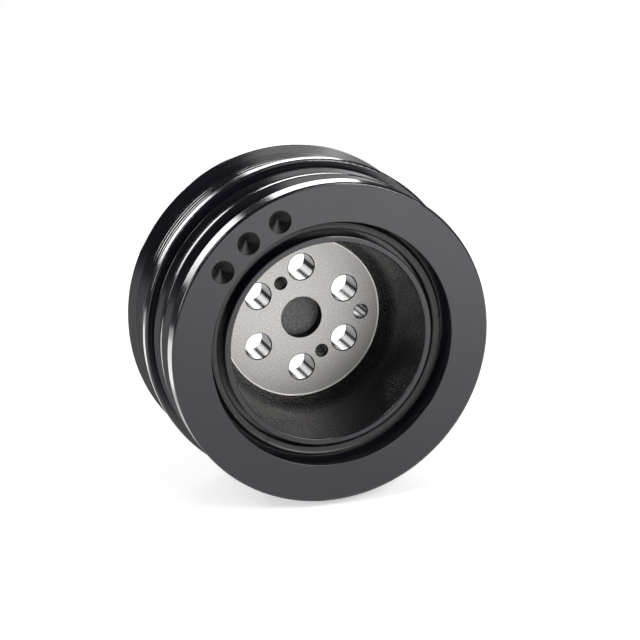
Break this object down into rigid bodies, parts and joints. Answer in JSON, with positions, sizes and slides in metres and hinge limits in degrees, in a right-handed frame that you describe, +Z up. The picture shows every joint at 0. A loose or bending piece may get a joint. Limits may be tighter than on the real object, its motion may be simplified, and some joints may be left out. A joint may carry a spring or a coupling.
{
  "type": "crankshaft belt pulley",
  "caption": "Deep-cup crankshaft belt pulley: cast hub, rubber-bonded damper ring with a V-belt groove and a rubber-isolated multi-rib ring behind it.",
  "frame": {"origin": "on the pulley's axis, in the plane of the hub's rear seat, at the centre of the crankshaft bolt circle", "axes": "+Y along the axis from the front face to the crankshaft, +Z up through the first bolt hole, +X to the right seen from the front"},
  "size_m": [0.1862, 0.084, 0.1862],
  "materials": {
    "hub_paint": "black paint on cast iron, machined bare on the cup's floor and in the bolt holes",
    "ring_paint": "gloss black electrophoretic paint on machined iron",
    "rubber": "moulded black rubber with a thin coat of paint",
    "sleeve_steel": "drawn steel, phosphated",
    "cover_steel": "black painted sheet steel",
    "bush_polymer": "filled low-friction polymer"
  },
  "bodies": {
    "hub": {"hub": "hub_paint", "damper_rubber": "rubber", "front_thrust_ring": "sleeve_steel", "coupling_inner_sleeve": "sleeve_steel", "coupling_rubber": "rubber", "rear_cover": "cover_steel"},
    "damper_ring": {"damper_ring": "ring_paint"},
    "rib_ring": {"rib_ring": "ring_paint", "bearing_bush": "bush_polymer", "thrust_washer": "bush_polymer", "coupling_outer_sleeve": "sleeve_steel"}
  },
  "joints": [
    {"name": "damper_twist", "type": "hinge", "parent": "hub", "child": "damper_ring", "pos_m": [0, 0, 0], "axis": [0, 1, 0], "range_deg": [-2, 2], "stiffness_Nm_per_rad": 12000},
    {"name": "rib_twist", "type": "hinge", "parent": "hub", "child": "rib_ring", "pos_m": [0, 0, 0], "axis": [0, 1, 0], "range_deg": [-12, 12], "stiffness_Nm_per_rad": 300}
  ]
}
